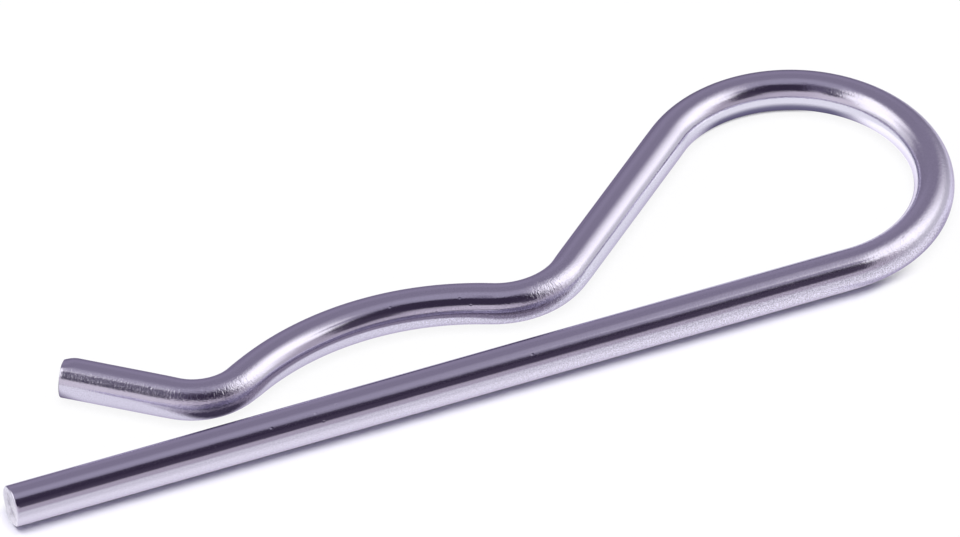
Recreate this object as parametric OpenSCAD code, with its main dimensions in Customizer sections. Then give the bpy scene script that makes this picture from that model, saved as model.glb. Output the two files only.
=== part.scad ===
// R clip for a hitch pin: one length of round spring wire, bent in one plane.
// The straight leg passes through the cross hole of a round shaft, and the
// waved spring leg runs over the outside of that shaft and grips it.
//
// Frame: the origin is on the axis of the straight leg, at the centre of the
// shaft. +X runs along the leg to the loop, +Y points to the spring leg, and
// the clip lies flat with the middle of the wire at Z = 0.

/* [Wire] */
// Diameter of the spring wire
wire_d = 3; // [2:0.1:4]
// Amount by which bending draws down the radius of the wire
draw_down = 0.01; // [0.01:0.01:0.1]
// Radius on the rim of each cut end
end_round = 0.3; // [0.05:0.05:0.8]

/* [Straight leg] */
// Length of the straight leg from the centre of the shaft to its free end
leg_reach = 30.5; // [20:0.1:60]

/* [Loop] */
// Inside diameter of the loop
loop_id = 17.5; // [12:0.1:30]
// Length of straight wire between the loop and the waist
throat_len = 16.2; // [8:0.1:30]

/* [Waist] */
// Inside radius of the waist bend
waist_bend_r = 4.7; // [2:0.1:8]
// Clear gap between the waist and the straight leg
waist_gap = 3; // [1:0.1:4.5]
// Length of straight wire between the waist and the saddle
waist_flank_len = 0.6; // [0.1:0.1:4]

/* [Saddle] */
// Diameter of the shaft that the saddle touches with the clip at rest
shaft_d = 14; // [13:0.1:20]
// Inside radius of the saddle, wider than the shaft so that it centres itself
saddle_r = 19.5; // [10:0.1:30]

/* [Nose] */
// Length of straight wire between the saddle and the nose
nose_flank_len = 1.4; // [0.1:0.1:6]
// Inside radius of the nose bend
nose_bend_r = 3; // [1:0.1:8]
// Clear gap between the nose and the straight leg
nose_gap = 2; // [0.5:0.1:4.5]

/* [Tip] */
// Length of the straight tip past the nose bend
tip_len = 8.4; // [3:0.1:20]
// Angle at which the tip rises from the straight leg, in degrees
tip_angle = 38.5; // [15:0.5:70]

/* [Hidden] */
$fn = 96;
steel = [0.72, 0.71, 0.76];

// Radius of the wire where it is straight and where it is bent
wire_r = wire_d / 2;
bent_r = wire_r - draw_down;

// Radius of the wire's centre line in each bend
loop_path_r = loop_id / 2 + bent_r;
waist_path_r = waist_bend_r + bent_r;
saddle_path_r = saddle_r + bent_r;
nose_path_r = nose_bend_r + bent_r;

// Height of each bend's centre above the axis of the straight leg. The loop
// starts tangent to the leg, the waist and nose hang down to their gaps, and
// the saddle arches over the shaft.
loop_y = loop_path_r;
waist_y = wire_r + waist_gap + bent_r + waist_path_r;
saddle_y = shaft_d / 2 - saddle_r;
nose_y = wire_r + nose_gap + bent_r + nose_path_r;

// Neighbouring bends turn opposite ways, so the straight wire between them is
// the inner tangent of their two circles. Their centres lie as far apart as
// the hypotenuse over that straight and the sum of the two radii, and this is
// how far apart they are along X.
function run(radii, straight, rise) =
    sqrt(pow(radii, 2) + pow(straight, 2) - pow(rise, 2));

throat_run = run(loop_path_r + waist_path_r, throat_len, waist_y - loop_y);
waist_run = run(waist_path_r + saddle_path_r, waist_flank_len, saddle_y - waist_y);
nose_run = run(saddle_path_r + nose_path_r, nose_flank_len, nose_y - saddle_y);

// Centre of each bend, with the saddle's crown over the shaft
saddle_at = [0, saddle_y];
waist_at = [waist_run, waist_y];
loop_at = [waist_run + throat_run, loop_y];
nose_at = [-nose_run, nose_y];

// Heading of the wire along each straight, counted anticlockwise from +X.
// Past the loop the wire runs back towards -X.
throat_heading = 180 - atan((waist_y - loop_y) / throat_run)
    + atan((loop_path_r + waist_path_r) / throat_len);
waist_heading = 180 - atan((saddle_y - waist_y) / waist_run)
    - atan((waist_path_r + saddle_path_r) / waist_flank_len);
nose_heading = 180 - atan((nose_y - saddle_y) / nose_run)
    + atan((saddle_path_r + nose_path_r) / nose_flank_len);
tip_heading = 180 - tip_angle;

// Point of the centre line on a bend where the wire's heading is as given.
// turn is 1 for a bend to the left and -1 for a bend to the right.
function on_bend(centre, path_r, turn, heading) =
    centre + turn * path_r * [sin(heading), -cos(heading)];

// Length by which the thinner wire of a bend reaches into each straight beside it
lap = 0.04;

// Straight wire that leaves a point on the given heading
module straight_wire(start, heading, len) {
    translate(start) rotate([90, 0, heading + 90]) cylinder(r = wire_r, h = len);
}

// Straight wire as above, with the rim of its far end rounded
module cut_wire(start, heading, len) {
    translate(start) rotate([90, 0, heading + 90]) rotate_extrude() {
        square([wire_r, len - end_round]);
        square([wire_r - end_round, len]);
        translate([wire_r - end_round, len - end_round]) intersection() {
            circle(r = end_round);
            square(end_round);
        }
    }
}

// Wire bent about a centre, between two headings. turn is as in on_bend.
module bent_wire(centre, path_r, turn, from_heading, to_heading) {
    lap_angle = lap / path_r * 180 / PI;
    first = min(from_heading, to_heading) - turn * 90 - lap_angle;
    sweep = abs(to_heading - from_heading) + 2 * lap_angle;
    translate(centre) rotate(first) rotate_extrude(angle = sweep)
        translate([path_r, 0]) circle(r = bent_r);
}

module straight_leg() {
    cut_wire([loop_at.x, 0], 180, loop_at.x + leg_reach);
}

module loop() {
    bent_wire(loop_at, loop_path_r, 1, 0, throat_heading);
}

module throat() {
    start = on_bend(loop_at, loop_path_r, 1, throat_heading);
    straight_wire(start, throat_heading, throat_len);
}

module waist() {
    bent_wire(waist_at, waist_path_r, -1, throat_heading, waist_heading);
    start = on_bend(waist_at, waist_path_r, -1, waist_heading);
    straight_wire(start, waist_heading, waist_flank_len);
}

module saddle() {
    bent_wire(saddle_at, saddle_path_r, 1, waist_heading, nose_heading);
    start = on_bend(saddle_at, saddle_path_r, 1, nose_heading);
    straight_wire(start, nose_heading, nose_flank_len);
}

module nose() {
    bent_wire(nose_at, nose_path_r, -1, nose_heading, tip_heading);
}

module tip() {
    start = on_bend(nose_at, nose_path_r, -1, tip_heading);
    cut_wire(start, tip_heading, tip_len);
}

// The whole clip, in the order in which the wire runs
module r_clip() {
    color(steel) union() {
        straight_leg();
        loop();
        throat();
        waist();
        saddle();
        nose();
        tip();
    }
}

r_clip();
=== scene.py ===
# %% [markdown]
# An R clip of plated spring wire
#
# An R clip is one length of round spring wire. Its straight leg goes through
# the cross hole of a hitch pin, and its waved spring leg snaps over the
# outside of that pin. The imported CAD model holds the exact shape. This lesson
# makes the same wire again as a mesh with cut ends, tool marks and a plated
# finish, lays it on white paper and lights it as a small part is lit in a
# studio: with soft cloths that the bright metal can mirror.
#
# Everything is in metres, in the CAD frame: the origin is on the axis of the
# straight leg at the centre of the shaft, +X runs to the loop, +Y to the
# spring leg, and the clip lies flat.

from math import atan, atan2, cos, degrees, pi, radians, sin, sqrt

import bmesh
import bpy
import numpy as np
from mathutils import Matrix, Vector


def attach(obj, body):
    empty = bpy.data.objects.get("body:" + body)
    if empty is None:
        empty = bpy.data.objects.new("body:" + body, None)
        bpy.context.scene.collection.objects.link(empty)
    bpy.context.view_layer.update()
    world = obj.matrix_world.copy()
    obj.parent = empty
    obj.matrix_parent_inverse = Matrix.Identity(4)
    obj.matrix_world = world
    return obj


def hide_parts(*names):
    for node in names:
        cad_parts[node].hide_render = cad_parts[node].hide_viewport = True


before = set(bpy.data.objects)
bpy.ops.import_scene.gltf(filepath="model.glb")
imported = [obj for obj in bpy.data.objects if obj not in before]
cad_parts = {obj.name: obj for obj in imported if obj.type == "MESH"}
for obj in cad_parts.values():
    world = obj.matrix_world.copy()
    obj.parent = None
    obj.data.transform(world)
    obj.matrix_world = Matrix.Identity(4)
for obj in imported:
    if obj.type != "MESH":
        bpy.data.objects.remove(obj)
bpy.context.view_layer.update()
MM = 0.001

# %% [markdown]
# The wire's route
#
# The clip is drawn as its maker would bend it: a straight leg, a big loop, a
# straight throat, a waist, a saddle over the shaft, a nose and a tip. Each
# bend turns the other way from the one before, so the straight wire between
# two bends is the inner tangent of their circles. The sizes are the ones in
# the part's own source, so the new wire lies exactly where the solid does.

# %% Sizes of the clip, in mm
WIRE_R = 1.5
BENT_R = 1.49  # bending draws the wire down a little
LEG_REACH = 30.5  # from the centre of the shaft to the free end
LOOP_INSIDE = 17.5  # across the loop
THROAT = 16.2
WAIST_INSIDE = 4.7  # radius, as for the two bends after it
WAIST_GAP = 3.0  # clear of the straight leg
WAIST_FLANK = 0.6
SHAFT = 14.0  # across the shaft that the saddle touches
SADDLE_INSIDE = 19.5
NOSE_FLANK = 1.4
NOSE_INSIDE = 3.0
NOSE_GAP = 2.0
TIP = 8.4
TIP_ANGLE = 38.5  # degrees

# radius of the wire's middle line in each bend, then the height of its centre
LOOP_R = LOOP_INSIDE / 2 + BENT_R
WAIST_R = WAIST_INSIDE + BENT_R
SADDLE_R = SADDLE_INSIDE + BENT_R
NOSE_R = NOSE_INSIDE + BENT_R
loop_y = LOOP_R
waist_y = WIRE_R + WAIST_GAP + BENT_R + WAIST_R
saddle_y = SHAFT / 2 - SADDLE_INSIDE
nose_y = WIRE_R + NOSE_GAP + BENT_R + NOSE_R
print("Radii of the wire's middle line:", LOOP_R, WAIST_R, SADDLE_R, NOSE_R)

# %% Headings of the straight lengths
def run(radii, straight, rise):
    """How far apart along X two bends lie that an inner tangent joins."""
    return sqrt(radii**2 + straight**2 - rise**2)


def tangent_heading(turn, radii, straight, rise, run_x):
    """Heading, from +X, of the straight wire that leaves a bend."""
    return pi - atan(rise / run_x) + turn * atan(radii / straight)


throat_run = run(LOOP_R + WAIST_R, THROAT, waist_y - loop_y)
waist_run = run(WAIST_R + SADDLE_R, WAIST_FLANK, saddle_y - waist_y)
nose_run = run(SADDLE_R + NOSE_R, NOSE_FLANK, nose_y - saddle_y)

heading = {
    "leg": 0.0,
    "throat": tangent_heading(
        1, LOOP_R + WAIST_R, THROAT, waist_y - loop_y, throat_run
    ),
    "waist_flank": tangent_heading(
        -1, WAIST_R + SADDLE_R, WAIST_FLANK, saddle_y - waist_y, waist_run
    ),
    "nose_flank": tangent_heading(
        1, SADDLE_R + NOSE_R, NOSE_FLANK, nose_y - saddle_y, nose_run
    ),
    "tip": pi - radians(TIP_ANGLE),
}
loop_x = waist_run + throat_run
print("Headings, in degrees:", [round(degrees(h), 1) for h in heading.values()])

# %% The route, from the free end of the leg to the tip
# straights are (name, length); bends are (name, centre, radius, heading after)
ROUTE = [
    ("leg", loop_x + LEG_REACH),
    ("loop", (loop_x, loop_y), LOOP_R, heading["throat"]),
    ("throat", THROAT),
    ("waist", (waist_run, waist_y), WAIST_R, heading["waist_flank"]),
    ("waist_flank", WAIST_FLANK),
    ("saddle", (0.0, saddle_y), SADDLE_R, heading["nose_flank"]),
    ("nose_flank", NOSE_FLANK),
    ("nose", (-nose_run, nose_y), NOSE_R, heading["tip"]),
    ("tip", TIP),
]


def route_pieces():
    """The route with each piece's start point, heading and place along the wire."""
    at, head, along, pieces = Vector((-LEG_REACH, 0.0)), 0.0, 0.0, []
    for item in ROUTE:
        piece = {"name": item[0], "at": at.copy(), "head": head, "along": along}
        if len(item) == 2:
            piece["length"], piece["turn"] = item[1], 0.0
            at = at + item[1] * Vector((cos(head), sin(head)))
        else:
            piece["centre"], piece["radius"] = Vector(item[1]), item[2]
            piece["turn"] = item[3] - head
            piece["length"] = abs(piece["turn"]) * item[2]
            side = 1 if piece["turn"] > 0 else -1
            head = item[3]
            at = piece["centre"] + side * item[2] * Vector((sin(head), -cos(head)))
        along += piece["length"]
        pieces.append(piece)
    return pieces


wire_route = route_pieces()
wire_length = wire_route[-1]["along"] + wire_route[-1]["length"]
for piece in wire_route:
    x, y = piece["at"]
    print(f"{piece['name']:12s} {piece['length']:6.2f} mm, starts at {x:.2f}, {y:.2f}")
print("Length of wire in the clip:", round(wire_length, 2), "mm")

# %% [markdown]
# The camera
#
# A small part is usually shot from well back with a long lens, so its
# straight leg hardly narrows towards the far end. The camera looks down at
# about 42 degrees, a little from the left of the leg.

# %% Camera
CAMERA_TURN = 22.63  # the leg points this far up to the right, seen from above
CAMERA_RISE = 42.07
CAMERA_AT = Vector((9.587, 10.332, 0.0)) * MM
CAMERA_AWAY = 649.8 * MM
FRAME_WIDTH = 69.36 * MM  # what the frame takes in at that distance
SENSOR = 36.0  # mm


def direction(azimuth, rise):
    """Unit vector to an azimuth from the camera's right, and a rise, in degrees."""
    a, e = radians(azimuth - CAMERA_TURN), radians(rise)
    return Vector((cos(a) * cos(e), sin(a) * cos(e), sin(e)))


back = direction(-90, CAMERA_RISE)
bpy.ops.object.select_all(action="DESELECT")
bpy.ops.object.camera_add(location=CAMERA_AT + back * CAMERA_AWAY)
camera = bpy.context.object
camera.name = "camera"
camera.rotation_euler = (-back).to_track_quat("-Z", "Y").to_euler()
camera.data.sensor_width = SENSOR
camera.data.lens = SENSOR * CAMERA_AWAY / FRAME_WIDTH
camera.data.clip_start, camera.data.clip_end = 0.05, 20.0
bpy.context.scene.camera = camera
bpy.context.scene.view_settings.view_transform = "Standard"
print("Lens:", round(camera.data.lens, 1), "mm")

# %% [markdown]
# The table
#
# The clip lies on white paper, which is as white as the background and only darkens
# close to the foot of the wire. The paper is matt, and most of what the camera sees of
# it is a plain white glow laid over that: painted white, which hides the paper's
# contact shadow. The glow is left out in front of the leg, on round the outer foot of
# the loop and inside the loop's crown, where the contact shadow shows. It is for rays
# that come straight from the camera, or by way of metal or glass, so it lights neither
# the paper nor the clip.

# %% Helpers for nodes
def new_material(name):
    """An empty node material and its Material Output."""
    material = bpy.data.materials.new(name)
    material.use_nodes = True
    nodes = material.node_tree.nodes
    nodes.clear()
    return material, nodes.new("ShaderNodeOutputMaterial")


def node(tree, kind, **settings):
    """Adds a node; settings whose names are inputs are set or linked there."""
    made = tree.nodes.new("ShaderNode" + kind)
    for key, value in settings.items():
        name = key.replace("_", " ")
        socket = None
        for s in made.inputs:
            if s.name.lower() == name.lower() and s.enabled:
                socket = s
                break
        if socket is None:
            setattr(made, key, value)
        elif isinstance(value, bpy.types.NodeSocket):
            tree.links.new(value, socket)
        else:
            socket.default_value = value
    return made


def math(tree, operation, a, b=None, c=None, clamp=False):
    """A Math node's result; a, b and c are numbers or sockets."""
    made = tree.nodes.new("ShaderNodeMath")
    made.operation, made.use_clamp = operation, clamp
    for socket, value in zip(made.inputs, (a, b, c)):
        if isinstance(value, bpy.types.NodeSocket):
            tree.links.new(value, socket)
        elif value is not None:
            socket.default_value = value
    return made.outputs[0]


def seen_directly(tree, by_camera=True):
    """1 for rays from the camera, straight or by way of metal or glass, else 0."""
    path = tree.nodes.new("ShaderNodeLightPath").outputs
    rays = math(tree, "MAXIMUM", path["Is Glossy Ray"], path["Is Transmission Ray"])
    if by_camera:
        rays = math(tree, "MAXIMUM", path["Is Camera Ray"], rays)
    # the depth counts the matt surfaces that the ray has left so far
    not_lighting = math(tree, "LESS_THAN", path["Diffuse Depth"], 0.5)
    return math(tree, "MULTIPLY", rays, not_lighting)


# %% Paper
TABLE_WIDTH = 8.0  # m, so that its edge is never seen
PAPER_COLOUR = (0.86, 0.86, 0.87, 1)

bpy.ops.object.select_all(action="DESELECT")
bpy.ops.mesh.primitive_plane_add(size=TABLE_WIDTH, location=(0, 0, -WIRE_R * MM))
table = bpy.context.object
table.name = "table"
bpy.ops.object.transform_apply(location=True, rotation=True, scale=True)

paper, output = new_material("table_paper")
tree = paper.node_tree
where = tree.nodes.new("ShaderNodeTexCoord").outputs["Object"]
matt = node(tree, "BsdfDiffuse", Color=PAPER_COLOUR).outputs[0]
table.data.materials.append(paper)
print("Paper lies at", round(table.data.vertices[0].co.z / MM, 2), "mm")

# %% Helpers for soft-edged patches
def patch(x, y, half_x, half_y, turn, edge):
    """1 inside an ellipse on the table, 0 from edge mm outside it; mm and degrees."""
    local = node(tree, "Mapping", vector_type="TEXTURE", Vector=where)
    local.inputs["Location"].default_value = (x * MM, y * MM, 0)
    local.inputs["Rotation"].default_value = (0, 0, radians(turn))
    local.inputs["Scale"].default_value = (half_x * MM, half_y * MM, 1)
    length = node(tree, "VectorMath", operation="LENGTH")
    tree.links.new(local.outputs[0], length.inputs[0])
    return node(
        tree, "MapRange", interpolation_type="SMOOTHSTEP",
        Value=length.outputs["Value"], From_Min=1.0,
        From_Max=1 + edge / min(half_x, half_y), To_Min=1.0, To_Max=0.0,
    ).outputs[0]


def overlay(under, over, cover):
    """Shader over laid on shader under, as far as cover says."""
    mixed = node(tree, "MixShader")
    for value, socket in zip((cover, under, over), mixed.inputs):
        tree.links.new(value, socket)
    return mixed.outputs[0]


def glowing(*colour):
    """Shader that glows evenly in a colour, where 1 is white."""
    return node(tree, "Emission", Color=(*colour, 1), Strength=1.0).outputs[0]


# %% White glow of the paper
# x, y, half x, half y, turn, edge (mm and degrees) of the painted white glow that hides
# the contact shadow: all that lies behind the front of the leg, then to the right of
# the loop, then in front of its foot
GLOW_HIDES_SHADOW = [
    (0, 401.3, 400, 400, 0, 1.8),
    (loop_x + 12.5, 3, 6.5, 12, 0, 5.5),
    (loop_x + 18.7, -59.7, 60.3, 60.3, 0, 0.9),
]
# the shadow that shows at the foot of the loop's crown, less the loop's hole
CROWN_CONTACT = (loop_x - 0.4, loop_y + 9.4, 3.8, 1, 0, 1.2)
LOOP_HOLE = (loop_x, loop_y, 9.35, 9.35, 0, 0.4)
LEAST_GLOW, MORE_GLOW = 0.03, 0.88  # share in the shadow, and added outside it

# painted white glow: it covers the paper's contact shadow wherever it is not left out
glow_hides_shadow = patch(*GLOW_HIDES_SHADOW[0])
for spot in GLOW_HIDES_SHADOW[1:]:
    glow_hides_shadow = math(tree, "MAXIMUM", glow_hides_shadow, patch(*spot))
past_hole = math(tree, "SUBTRACT", 1.0, patch(*LOOP_HOLE))
in_crown = math(tree, "MULTIPLY", patch(*CROWN_CONTACT), past_hole)
glow_hides_shadow = math(tree, "SUBTRACT", glow_hides_shadow, in_crown, clamp=True)
white_share = math(tree, "MULTIPLY_ADD", glow_hides_shadow, MORE_GLOW, LEAST_GLOW)
white_share = math(tree, "MULTIPLY", white_share, seen_directly(tree))
seen = overlay(matt, glowing(1.0, 1.0, 1.0), white_share)
print("The contact shadow is left out in", len(GLOW_HIDES_SHADOW), "parts of the table")

# %% [markdown]
# The paper in the metal
#
# The lower half of what polished wire mirrors is the paper close to it. That
# isn't even: light comes back brighter inside the loop, and hardly any gets
# into the gap under the spring leg or to the foot of a bend. Each soft-edged
# ellipse below is laid over the ones before it, and only glossy rays see them,
# so the metal has these shades and the camera's own view stays clean.

# %% Shades of the paper in the metal
GREY_CLOTH = (0.328, 0.296, 0.383)  # of the tent round the table, see below
# x, y, half x, half y, turn, edge (mm and degrees), colour
MIRRORED = [
    (0, 0, 400, 400, 0, 1.0, (0.79, 0.77, 0.81)),
    (0, 5, 60, 22, 0, 12.0, (0.96, 0.95, 0.975)),
    (3, -1.5, 42, 1.2, 0, 3.0, (1.19, 1.17, 1.19)),
    (52, 8, 5, 5, 0, 5.0, (1.30, 1.28, 1.34)),
    (0, 11, 48, 9.5, 0, 2.0, (1.08, 1.07, 1.11)),
    (27, 8, 10, 3.5, 27, 3.0, (1.20, 1.22, 1.22)),
    (loop_x + 1.8, loop_y + 9.3, 4.8, 2.4, -22, 1.9, (0.25, 0.24, 0.34)),
    (loop_x, loop_y, 6.6, 6.6, 0, 2.1, (1.22, 1.24, 1.23)),
    (loop_x + 7.1, loop_y + 1.6, 2.2, 2.4, 0, 1.5, (1.78, 1.80, 1.72)),
    (40.3, 0.5, 4.6, 0.5, 24, 0.7, (0.85, 0.82, 0.92)),
    (-98, 505, 500, 500, 0, 2.0, GREY_CLOTH),
    (2, 25, 24, 14, 0, 4.0, (0.41, 0.37, 0.48)),
    (1, 2.0, 17, 1.7, 0, 1.1, (0.34, 0.30, 0.38)),
    (12, 1.0, 4.5, 0.7, 0, 0.9, (0.19, 0.16, 0.21)),
    (-13.2, 2.4, 2.4, 1.1, 0, 0.9, (0.075, 0.062, 0.10)),
]
shown = None
for x, y, half_x, half_y, turn, edge, colour in MIRRORED:
    patch_glow = glowing(*colour)
    shown = patch_glow if shown is None else overlay(
        shown, patch_glow, patch(x, y, half_x, half_y, turn, edge)
    )
shown_to_metal = overlay(seen, shown, seen_directly(tree, by_camera=False))
tree.links.new(shown_to_metal, output.inputs["Surface"])
print(len(MIRRORED), "shades in the metal's view of the paper")

# %% [markdown]
# Light for the table
#
# One wide, soft lamp high in front gives most of the light, so the shadow
# keeps close to the foot of the wire, and a weak one on the left opens it a
# little. The world adds a bluish light from all sides, as a white room does,
# which gives the shadow its colour. The camera and the metal see the world as
# plain white.

# %% World
AIR_COLOUR, AIR_STRENGTH = (0.63, 0.55, 1.0, 1), 0.36

world = bpy.data.worlds.new("studio_air")
bpy.context.scene.world = world
world.use_nodes = True
tree = world.node_tree
tree.nodes.clear()
air_light = node(tree, "Background", Color=AIR_COLOUR, Strength=AIR_STRENGTH)
white = node(tree, "Background", Color=(1, 1, 1, 1), Strength=1.0)
choose = node(tree, "MixShader")
tree.links.new(seen_directly(tree), choose.inputs[0])
tree.links.new(air_light.outputs[0], choose.inputs[1])
tree.links.new(white.outputs[0], choose.inputs[2])
world_out = tree.nodes.new("ShaderNodeOutputWorld")
tree.links.new(choose.outputs[0], world_out.inputs["Surface"])
print("Light from all sides:", AIR_COLOUR[:3], "at", AIR_STRENGTH)

# %% Lamps
LAMP_WIDTH = 40  # degrees, as seen from the table


def soft_lamp(name, azimuth, rise, strength):
    """A wide, even lamp far away, which the metal doesn't show."""
    bpy.ops.object.select_all(action="DESELECT")
    towards = direction(azimuth, rise)
    bpy.ops.object.light_add(type="SUN", location=towards)
    lamp = bpy.context.object
    lamp.name = name
    lamp.rotation_euler = towards.to_track_quat("Z", "Y").to_euler()
    lamp.data.energy = strength
    lamp.data.angle = radians(LAMP_WIDTH)
    lamp.visible_glossy = False
    print("Lamp:", name, "at", azimuth, rise, "degrees, strength", strength)


soft_lamp("lamp_front", -98, 82, 2.95)
soft_lamp("lamp_left", 180, 50, 0.35)

# %% [markdown]
# What the metal shows
#
# Bright plated wire has hardly any colour of its own: it looks like whatever
# stands round it. A photographer builds that on purpose, with a tent of cloth
# round the part. Here the tent is half a ball of grey cloth with soft-edged
# panels: white ones on the left and the right, black ones in front above the
# camera, and pale ones low in front. Each is laid over those before it. Only
# the metal sees the tent, and it gives no light. The white panels draw the
# bright lines along the wire, and the black ones the dark line that makes it
# look like metal.

# %% Panels of the tent
TENT_R = 0.9  # m
# name, azimuth, half width, edge, rise, half height, edge (degrees), colour
PANELS = [
    ("top", 0, 400, 1, 90, 12, 16, (0.47, 0.44, 0.54)),
    ("back_low", 92, 12, 12, 5, 13, 24, (0.40, 0.362, 0.467)),
    ("left_apron", -166, 28, 26, 0, 10, 16, (0.97, 0.96, 0.965)),
    ("right_apron", 2, 24, 46, 0, 12, 18, (0.85, 0.85, 0.854)),
    ("right", 1, 12, 60, 42, 15, 16, (1.76, 1.74, 1.70)),
    ("right_low", -11, 8, 9, 28, 6, 7, (1.62, 1.60, 1.57)),
    ("left_back_low", 164, 6, 16, 24, 5, 10, (0.92, 0.90, 0.92)),
    ("left", -168, 17, 14, 40, 19, 13, (1.78, 1.76, 1.72)),
    ("left_low", -148, 10, 6, 34, 15, 10, (1.60, 1.58, 1.56)),
    ("left_back", 175, 10, 38, 53, 11, 11, (1.72, 1.70, 1.66)),
    ("front", -76, 52, 26, 10, 22, 14, (0.61, 0.557, 0.62)),
    ("front_edge", -106, 18, 14, 12, 23, 9, (0.79, 0.73, 0.79)),
    ("front_mid", -82, 12, 12, 8, 10, 8, (0.74, 0.68, 0.75)),
    ("front_left", -127, 9, 16, 12, 14, 12, (0.92, 0.87, 0.91)),
    ("left_shade", -124, 6.5, 4, 51, 18, 7, (0.085, 0.075, 0.11)),
    ("left_notch", -135, 7, 4, 58, 5, 5, (0.15, 0.135, 0.19)),
    ("left_corner", -145, 9, 6, 66, 6, 5, (0.19, 0.17, 0.23)),
    ("black_fade", -109, 12, 9, 68, 14, 22, (0.17, 0.145, 0.215)),
    ("black", -65, 34, 9, 53.5, 17, 7, (0.052, 0.039, 0.071)),
    ("black_corner", -46, 8, 11, 33, 7, 6, (0.08, 0.063, 0.10)),
    ("black_tail", -42, 3, 6, 28, 7, 5, (0.08, 0.063, 0.10)),
    ("grey_corner", -20, 5, 9, 66, 9, 8, (0.37, 0.34, 0.43)),
]

# %% Helpers for the tent
def smooth_window(value, half, edge):
    """1 inside half, 0 outside half + edge, with a smooth step between."""
    t = np.clip((half + edge - np.abs(value)) / edge, 0, 1)
    return t * t * (3 - 2 * t)


def rows_of(mesh, what):
    """The place (co) or normal of each point of a mesh, one row of three each."""
    flat = np.empty(len(mesh.vertices) * 3)
    mesh.vertices.foreach_get(what, flat)
    return flat.reshape(-1, 3)


# %% Tent
bpy.ops.object.select_all(action="DESELECT")
bpy.ops.mesh.primitive_uv_sphere_add(
    segments=180, ring_count=120, radius=TENT_R, location=(0, 0, 0)
)
tent = bpy.context.object
tent.name = "tent"
bpy.ops.object.mode_set(mode="EDIT")
bpy.ops.mesh.select_all(action="SELECT")
bpy.ops.mesh.bisect(
    plane_co=(0, 0, -WIRE_R * MM), plane_no=(0, 0, 1), clear_inner=True
)
bpy.ops.object.mode_set(mode="OBJECT")

co = rows_of(tent.data, "co") / TENT_R
azimuth = np.degrees(np.arctan2(co[:, 1], co[:, 0])) + CAMERA_TURN
rise = np.degrees(np.arcsin(np.clip(co[:, 2], -1, 1)))
cloth = np.ones((len(co), 4))
cloth[:, :3] = GREY_CLOTH
for _name, az, wide, az_edge, el, tall, el_edge, colour in PANELS:
    aside = (azimuth - az + 180) % 360 - 180
    cover = smooth_window(aside, wide, az_edge)
    cover = cover * smooth_window(rise - el, tall, el_edge)
    cloth[:, :3] += cover[:, None] * (np.array(colour) - cloth[:, :3])
layer = tent.data.attributes.new("cloth", "FLOAT_COLOR", "POINT")
layer.data.foreach_set("color", cloth.ravel())

tent_cloth, output = new_material("tent_cloth")
tree = tent_cloth.node_tree
cloth_colour = node(tree, "Attribute", attribute_name="cloth")
lit = node(
    tree, "Emission", Color=cloth_colour.outputs["Color"], Strength=seen_directly(tree)
)
tree.links.new(lit.outputs[0], output.inputs["Surface"])
tent.data.materials.append(tent_cloth)
tent.visible_camera = tent.visible_diffuse = tent.visible_shadow = False
print("Tent:", len(tent.data.vertices), "points,", len(PANELS), "panels")

# %% [markdown]
# Drawing and bending the wire
#
# Real wire is drawn round and then bent round pegs. The mesh is made the same
# way. It starts as one circle at the free end of the leg. An extrude pulls it
# out into a straight length, and a spin about the centre of a bend takes it
# round, one after the other, to the tip. A curve with a round bevel would be
# quicker, but extrude and spin give even rings and exact arcs, and every line
# of points keeps its place on the wire's side, which the finish needs later.

# %% Helpers for the wire
ROUND = 72  # points round the wire
RING_STEP = 0.19  # mm between rings
CUT_ZONE = 0.4  # mm at each end left for the rim and the marks of the cutter
ON_WIRE = 1.01 * WIRE_R * MM  # just past the wire's surface, from its middle
TINY = 1e-6  # m, below which two places are the same


def pick(kind, wanted):
    """In edit mode, selects only the points, edges or faces that pass the test."""
    bpy.ops.mesh.select_mode(type=kind)
    bpy.ops.mesh.select_all(action="DESELECT")
    mesh = bmesh.from_edit_mesh(clip.data)
    group = {"VERT": mesh.verts, "EDGE": mesh.edges, "FACE": mesh.faces}[kind]
    count = 0
    for item in group:
        if wanted(item):
            item.select_set(True)
            count += 1
    mesh.select_flush_mode()
    bmesh.update_edit_mesh(clip.data)
    return count


def across(at, head):
    """A test for points in the plane across the wire at a place on its route."""
    ahead = Vector((cos(head), sin(head), 0))
    middle = Vector((at[0], at[1], 0)) * MM

    def test(v):
        off = v.co - middle
        return abs(off.dot(ahead)) < TINY and off.length < ON_WIRE

    return test


def pull_out(head, length):
    """Extrudes the selected ring into a straight length of wire."""
    step = Vector((cos(head), sin(head), 0)) * length * MM
    bpy.ops.mesh.extrude_region_move(TRANSFORM_OT_translate={"value": step})


# %% Wire
bpy.ops.object.select_all(action="DESELECT")
bpy.ops.mesh.primitive_circle_add(
    vertices=ROUND,
    radius=WIRE_R * MM,
    fill_type="NOTHING",
    location=(-LEG_REACH * MM, 0, 0),
    rotation=(0, pi / 2, 0),
)
clip = bpy.context.object
clip.name = "plated_wire_clip"
bpy.ops.object.transform_apply(location=True, rotation=True, scale=True)
bpy.ops.object.mode_set(mode="EDIT")
for piece in wire_route:
    pick("VERT", across(piece["at"], piece["head"]))
    if piece["turn"]:
        bpy.ops.mesh.spin(
            steps=round(piece["length"] / RING_STEP),
            angle=-piece["turn"],
            center=(*(piece["centre"] * MM), 0),
            axis=(0, 0, 1),
        )
    elif piece["name"] == "leg":
        pull_out(piece["head"], CUT_ZONE)
        pull_out(piece["head"], piece["length"] - CUT_ZONE)
    elif piece["name"] == "tip":
        pull_out(piece["head"], piece["length"] - CUT_ZONE)
        pull_out(piece["head"], CUT_ZONE)
    else:
        pull_out(piece["head"], piece["length"])
print("Rings after bending:", len(bmesh.from_edit_mesh(clip.data).verts) // ROUND)

# %% [markdown]
# Rings along the straights
#
# Each straight is still one long band of faces. Its edges are cut across into
# rings as close together as those of the bends, so that the whole wire can
# take marks of the same size.

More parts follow.
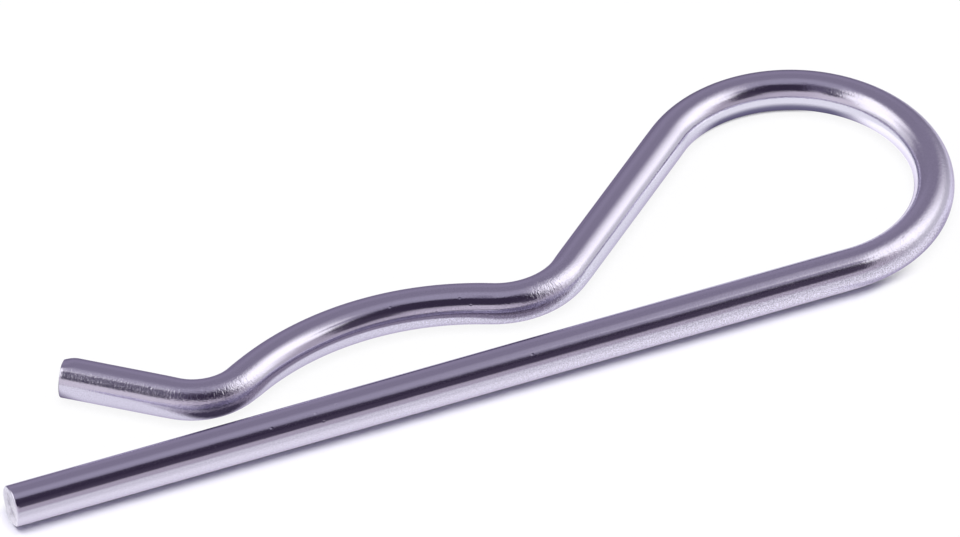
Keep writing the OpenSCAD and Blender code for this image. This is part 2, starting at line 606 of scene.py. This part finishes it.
# %% Cut the straights into rings
for piece in wire_route:
    if piece["turn"] or piece["length"] < 2 * RING_STEP:
        continue
    ahead = Vector((cos(piece["head"]), sin(piece["head"]), 0))
    start = Vector((*piece["at"], 0)) * MM
    long = (piece["length"] - CUT_ZONE * (piece["name"] in ("leg", "tip"))) * MM

    def lengthwise(edge):
        a, b = (v.co for v in edge.verts)
        middle = (a + b) / 2 - start
        along = middle.dot(ahead)
        on_wire = (middle - along * ahead).length < ON_WIRE
        inside = 0 < along / MM < piece["length"]
        return abs((b - a).length - long) < 2 * TINY and on_wire and inside

    found = pick("EDGE", lengthwise)
    cuts = round(piece["length"] / RING_STEP)
    if found == ROUND:
        bpy.ops.mesh.subdivide_edgering(number_cuts=cuts, interpolation="LINEAR")
    print(piece["name"], found, "edges,", cuts, "cuts")

# %% [markdown]
# Cut ends
#
# The wire is cropped to length by a shear. The blade first drags the skin over
# the edge on the side where it enters, and then the rest breaks off square,
# so a cut end is flat, a little rough, and rounded on one side more than on
# the other. Each end is filled, inset so that the face can be uneven, and its
# rim is bevelled. A soft pull with proportional editing then rolls the far
# upper side of the tip over.

# %% Ends
# rim radius, slant of the cut, and how far it stands back from the route's end
CUTS = {"leg": (0.13, 0.8, 0.07), "tip": (0.06, 5.3, 0.05)}  # mm, degrees, mm
INSETS, INSET = 4, 0.24  # rings on a cut face, and mm between them
UNEVEN_R, UNEVEN = 1.15, 0.02  # mm: part of the face that is uneven, and how far
INNER_RING = 0.6  # mm, less than which only the last ring and the middle reach


def face_order(point, middle, head):
    """A number that lists a cut face's points ring by ring, and round each ring."""
    off = (point.co - middle) / MM
    ring = round(off.length / INSET)
    aside = off.dot(Vector((-sin(head), cos(head), 0)))
    turn = round(atan2(off.z, aside) / (2 * pi) * ROUND)
    if not point.select:
        return -1
    if ring == 0:
        return 10 * ROUND
    if off.length < INNER_RING:
        return turn % ROUND
    return (8 - ring) * ROUND + (-turn - 1) % ROUND


tip_piece = wire_route[-1]
tip_ahead = Vector((cos(heading["tip"]), sin(heading["tip"])))
ends = {
    "leg": (Vector((-LEG_REACH, 0.0)), 0.0, 1),
    "tip": (tip_piece["at"] + TIP * tip_ahead, heading["tip"], -1),
}
for name, (at, head, inwards) in ends.items():
    rim, slant, set_back = CUTS[name]
    on_end = across(at, head)
    pick("EDGE", lambda e: on_end(e.verts[0]) and on_end(e.verts[1]))
    inward = Vector((cos(head), sin(head), 0)) * inwards
    middle = Vector((*at, 0)) * MM + inward * set_back * MM
    bpy.ops.transform.translate(value=inward * set_back * MM)
    bpy.ops.transform.rotate(
        value=-radians(slant),
        orient_axis="Z",
        center_override=middle,
    )
    bpy.ops.mesh.edge_face_add()
    bpy.ops.mesh.bevel(offset=rim * MM, segments=5, profile=0.5)
    # the cut face is still one polygon with as many corners as the wire has
    pick("FACE", lambda f: len(f.verts) > 8)
    for _ in range(INSETS):
        bpy.ops.mesh.inset(thickness=INSET * MM)
    bpy.ops.mesh.poke()
    pick("VERT", lambda v: (v.co - middle).length < UNEVEN_R * MM)
    # Blender lists new points in an order that varies a little from run to run,
    # so they are put in one order before the random draws
    mesh = bmesh.from_edit_mesh(clip.data)
    mesh.verts.sort(key=lambda v: face_order(v, middle, head))
    bmesh.update_edit_mesh(clip.data)
    bpy.ops.transform.vertex_random(
        offset=UNEVEN * MM, uniform=1.0, normal=0.0, seed=3
    )
    print("Cut the", name, "at", slant, "degrees off square")

# %% Rolled edge of the tip
# the blade dragged over what lies past ROLL_FROM on the far upper side
ROLL_FROM, ROLL_BACK, ROLL_SOFT = 1.15, 0.24, 1.0  # mm
NEAR_END, BEFORE_END = 1.7, 0.3  # mm: part of the tip that can be dragged
towards = direction(74, 47)
tip_end = Vector((*ends["tip"][0], 0)) * MM
rolled = pick(
    "VERT",
    lambda v: (v.co - tip_end).length < NEAR_END * MM
    and (v.co - tip_end).dot(Vector((*tip_ahead, 0))) > -BEFORE_END * MM
    and (v.co - tip_end).dot(towards) > ROLL_FROM * MM,
)
bpy.ops.transform.translate(
    value=-towards * ROLL_BACK * MM,
    use_proportional_edit=True,
    proportional_edit_falloff="SHARP",
    proportional_size=ROLL_SOFT * MM,
)
print("Rolled back", rolled, "points, and those round them less")
bpy.ops.mesh.select_all(action="SELECT")
bpy.ops.mesh.normals_make_consistent(inside=False)
bpy.ops.object.mode_set(mode="OBJECT")
print("Wire:", len(clip.data.vertices), "points,", len(clip.data.polygons), "faces")

# %% [markdown]
# Where each point sits on the wire
#
# Marks on drawn wire follow the wire round its bends. So each point keeps
# three numbers in an attribute: how far it lies to the side and above the
# middle of the wire, and how far along the unbent wire it is. A pattern that
# reads them runs along the wire as the marks do. Two more attributes say how
# far bending crazed the plating, most where the loop starts, at the waist and
# at the nose, and how grainy the side is that slid over the bending peg.

# %% Marks that bending leaves along the wire
# how far the plating is crazed, from 0 to 1, at distances along the wire in mm
CRAZED = [
    (0, 0.05), (50, 0.12), (64, 0.2), (66, 0.3), (67.5, 0.7), (73, 0.55), (90, 0.45),
    (97, 0.4), (100.5, 0.55), (104, 0.25), (110, 0.2), (119, 0.25), (121.5, 0.4),
    (123, 0.9), (124.2, 0.9), (125.2, 0.45), (126.6, 0.2), (129, 0.14), (146, 0.14),
    (148.6, 0.75), (151.5, 0.7), (154, 0.45), (162, 0.35),
]
# and how grainy the side is that slid over the bending peg
GRAINY = [
    (0, 0.1), (35, 0.3), (55, 0.8), (78, 0.8), (90, 0.35), (118, 0.2), (121, 0.8),
    (132, 0.7), (140, 0.3), (147, 0.3), (149, 0.6), (153, 0.2), (162, 0.2),
]
print("Marks change at", len(CRAZED) + len(GRAINY), "places")

# %% Helper that unbends the wire
PAST_END = 5.0  # mm, how far a cut end may lean past its end of the route
JOIN = 1e-4  # mm, by which the pieces of the route overlap


def wire_coordinates(points):
    """Side, height and distance along for points in mm, and the bend's pull there."""
    best = np.full(len(points), np.inf)
    side, along, outer = (np.zeros(len(points)) for _ in range(3))
    last = len(wire_route) - 1
    for i, piece in enumerate(wire_route):
        if piece["turn"]:
            sign = 1 if piece["turn"] > 0 else -1
            off = points[:, :2] - np.array(piece["centre"])
            radius = np.hypot(off[:, 0], off[:, 1])
            first = piece["head"] - sign * pi / 2
            swept = (sign * (np.arctan2(off[:, 1], off[:, 0]) - first)) % (2 * pi)
            swept = np.where(swept > pi + abs(piece["turn"]) / 2, swept - 2 * pi, swept)
            here = sign * (piece["radius"] - radius)
            distance = swept * piece["radius"]
            pull = -sign * here / piece["radius"]
        else:
            off = points[:, :2] - np.array(piece["at"])
            ahead = np.array((cos(piece["head"]), sin(piece["head"])))
            distance = off @ ahead
            here = off @ np.array((-ahead[1], ahead[0]))
            pull = np.zeros(len(points))
        low = -PAST_END if i == 0 else -JOIN
        high = piece["length"] + (PAST_END if i == last else JOIN)
        # the right piece is near the point, and above all beside it
        miss = np.maximum(low - distance, 0) + np.maximum(distance - high, 0)
        miss = miss * 10 + np.abs(here)
        nearer = miss < best - 1e-9
        best[nearer] = miss[nearer]
        side[nearer] = here[nearer]
        along[nearer] = piece["along"] + distance[nearer]
        outer[nearer] = pull[nearer]
    return side, points[:, 2], along, outer


# %% Wire coordinates
SIDE_CHANGES = 100  # mm along the wire, in the throat

points = rows_of(clip.data, "co") / MM
side, height, along, pull = wire_coordinates(points)
# the plating cracks on the outside of a bend more than on the inside
crazed = np.interp(along, *zip(*CRAZED)) * (0.8 + 0.2 * np.clip(pull * 6, -1, 1))
coordinates = clip.data.attributes.new("wire_space", "FLOAT_VECTOR", "POINT")
coordinates.data.foreach_set("vector", np.stack([side, height, along], 1).ravel())
# the peg touched the near, lower side of the leg and the loop, and of the bends
# after them, where the near side is the other side of the wire
near = side * np.where(along < SIDE_CHANGES, -1, 1)
touched = np.clip(near - 0.9 * height - 0.2, 0, 1)
grainy = np.interp(along, *zip(*GRAINY)) * (0.3 + 1.2 * touched)
for name, values in (("crazed", crazed), ("grainy", grainy)):
    strain = clip.data.attributes.new(name, "FLOAT", "POINT")
    strain.data.foreach_set("value", values)
print(f"Wire runs from {along.min():.2f} to {along.max():.2f} mm")

# %% [markdown]
# Bent wire isn't quite round
#
# A bend squeezes the wire a little between its inside and its outside, more
# where it is tighter. The points are already in wire coordinates, so the
# squeeze is a small step towards the middle of the wire.

# %% Squeeze the bends
SQUEEZED = {"loop": 0.012, "waist": 0.025, "saddle": 0.008, "nose": 0.03}
LOWERED = 0.997  # drawn wire is a hair lower than it is wide
BLEND = 1.6  # mm over which a squeeze comes in at the ends of a bend


def share_of(name):
    """1 on a bend of the route, fading to 0 past its ends."""
    bend = next(piece for piece in wire_route if piece["name"] == name)
    rise_in = np.clip((along - bend["along"]) / BLEND + 0.5, 0, 1)
    to_end = bend["along"] + bend["length"] - along
    return np.minimum(rise_in, np.clip(to_end / BLEND + 0.5, 0, 1))


squeeze = sum(amount * share_of(name) for name, amount in SQUEEZED.items())
heads = np.zeros(len(points))
for piece in wire_route:
    into = along - piece["along"]
    within = (into >= -1e-6) & (into <= piece["length"] + 1e-6)
    part_way = into[within] / piece["length"]
    heads[within] = piece["head"] + piece["turn"] * part_way
left = np.stack([-np.sin(heads), np.cos(heads), np.zeros(len(heads))], 1)
points -= (squeeze * side)[:, None] * left
points[:, 2] *= LOWERED
clip.data.vertices.foreach_set("co", (points * MM).ravel())
clip.data.update()
print("Box in mm:", points.min(0).round(3), points.max(0).round(3))

# %% Cut faces
# they face along the wire, and aren't plated as brightly as the skin
FACES_ALONG = 0.8  # cosine, above which a point belongs to a cut face

facing = rows_of(clip.data, "normal")
faces = np.abs(facing[:, 0] * np.cos(heads) + facing[:, 1] * np.sin(heads))
on_cut = faces > FACES_ALONG
cut = clip.data.attributes.new("cut", "FLOAT", "POINT")
cut.data.foreach_set("value", on_cut.astype(float))
print("Points on the cut faces:", int(on_cut.sum()))

# %% [markdown]
# The plated finish
#
# Zinc or nickel on drawn wire is a mirror with faults. It is bright, slightly
# lavender, and its reflections are sharp across the wire. Draw lines run
# along it, the bends have fine teeth, cracks and grain where the plating
# stretched, the cut faces have the marks of the shear, and there are a few
# pits. All of these are far finer than the mesh, so they are bumps in the
# material, laid out in the wire's own coordinates.

# %% Helpers for the finish
finish, output = new_material("bright_plating")
tree = finish.node_tree
place = node(tree, "Attribute", attribute_name="wire_space").outputs["Vector"]


def strength_of(name):
    """How strong a mark is at each point of the wire, from an attribute."""
    return node(tree, "Attribute", attribute_name=name).outputs["Fac"]


def scaled(across_scale, along_scale):
    """The wire's coordinates, in mm, multiplied across and along the wire."""
    made = tree.nodes.new("ShaderNodeVectorMath")
    made.operation = "MULTIPLY"
    tree.links.new(place, made.inputs[0])
    made.inputs[1].default_value = (across_scale, across_scale, along_scale)
    return made.outputs[0]


def noise(vector, scale, detail=2.0, roughness=0.5, distortion=0.0):
    """A Noise texture's factor on the given coordinates."""
    return node(
        tree, "TexNoise", Vector=vector, Scale=scale, Detail=detail,
        Roughness=roughness, Distortion=distortion,
    ).outputs["Fac"]


def bump(height, depth, strength, under):
    """A Bump node's normal, over the normal under it; depth is in metres."""
    made = node(tree, "Bump", Height=height, Distance=depth, Strength=strength)
    if under is not None:
        tree.links.new(under, made.inputs["Normal"])
    return made.outputs["Normal"]


# %% Marks in the finish
crazing, cut_face = strength_of("crazed"), strength_of("cut")
waves = noise(scaled(1, 1), scale=0.35)
draw_lines = noise(scaled(1, 0.02), scale=9.0, detail=3.0, roughness=0.6)
teeth = noise(
    scaled(0.9, 1.25), scale=4.2, detail=2.5, roughness=0.65, distortion=0.9
)
grain = noise(scaled(1, 1), scale=9.5, detail=1.5, roughness=0.6)
shear_marks = noise(scaled(1, 0), scale=5.0, detail=3.0, roughness=0.7)

# cracks run where the noise is at its middle value
from_line = math(tree, "SUBTRACT", noise(scaled(0.4, 1.5), scale=3.6), 0.5)
from_line = math(tree, "ABSOLUTE", from_line)
cracks = math(tree, "MULTIPLY", from_line, 10.0, clamp=True)

# a pit lies in the middle of each cell
PIT_REACH, PIT_SOFT = 0.09, 0.03  # how wide it is and how soft its rim, in cells
cells = node(tree, "TexVoronoi", Vector=scaled(1, 0.7), Scale=0.9)
pits = math(tree, "SMOOTH_MIN", cells.outputs["Distance"], PIT_REACH, PIT_SOFT)

# height, depth in m, and how strongly it shows
MARKS = [
    (waves, 12e-6, 1.0),
    (draw_lines, 1.6e-6, 1.0),
    (teeth, 20e-6, crazing),
    (cracks, 11e-6, math(tree, "POWER", crazing, 2.0)),
    (grain, 16e-6, math(tree, "POWER", crazing, 1.2)),
    (shear_marks, 25e-6, cut_face),
    (pits, 90e-6, 1.0),
]
normal = None
for mark, depth, strength in MARKS:
    normal = bump(mark, depth, strength, normal)
print(len(MARKS), "kinds of marks in the finish")

# %% Colour and gloss
METAL = (0.60, 0.575, 0.69)
RIM_TINT = (0.60, 0.57, 0.66, 1)  # where the skin is seen edge on
CUT_TINT = (1.0, 1.0, 1.0, 1)
GLOSS, DULLED = 0.125, 0.16  # roughness, and what a dull spot adds to it

# grains of plating take the light a little differently
middle_grain = math(tree, "SUBTRACT", grain, 0.5)
sparkle = math(tree, "MULTIPLY", middle_grain, strength_of("grainy"))
shade = math(tree, "ADD", sparkle, 1.0)
colour = tree.nodes.new("ShaderNodeVectorMath")
colour.operation = "SCALE"
colour.inputs[0].default_value = METAL
tree.links.new(shade, colour.inputs["Scale"])
edge = node(tree, "Mix", data_type="RGBA", Factor=cut_face, A=RIM_TINT, B=CUT_TINT)

dull_spots = node(
    tree, "MapRange", Value=noise(scaled(1, 0.8), scale=1.9),
    From_Min=0.45, From_Max=0.7, To_Min=0.0, To_Max=DULLED,
).outputs[0]
roughness = math(tree, "MULTIPLY_ADD", dull_spots, crazing, GLOSS)
plating = node(
    tree, "BsdfPrincipled", Base_Color=colour.outputs["Vector"], Metallic=1.0,
    Roughness=roughness,
)
tint = next(o for o in edge.outputs if o.enabled)
tree.links.new(tint, plating.inputs["Specular Tint"])
tree.links.new(normal, plating.inputs["Normal"])
tree.links.new(plating.outputs[0], output.inputs["Surface"])
clip.data.materials.append(finish)
bpy.ops.object.select_all(action="DESELECT")
clip.select_set(True)
bpy.context.view_layer.objects.active = clip
bpy.ops.object.shade_smooth()
print("Finish:", finish.name, "with", len(tree.nodes), "nodes")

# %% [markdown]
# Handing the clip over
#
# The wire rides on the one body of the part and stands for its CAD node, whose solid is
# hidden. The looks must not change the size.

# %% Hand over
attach(clip, "root")
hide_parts("r_clip")
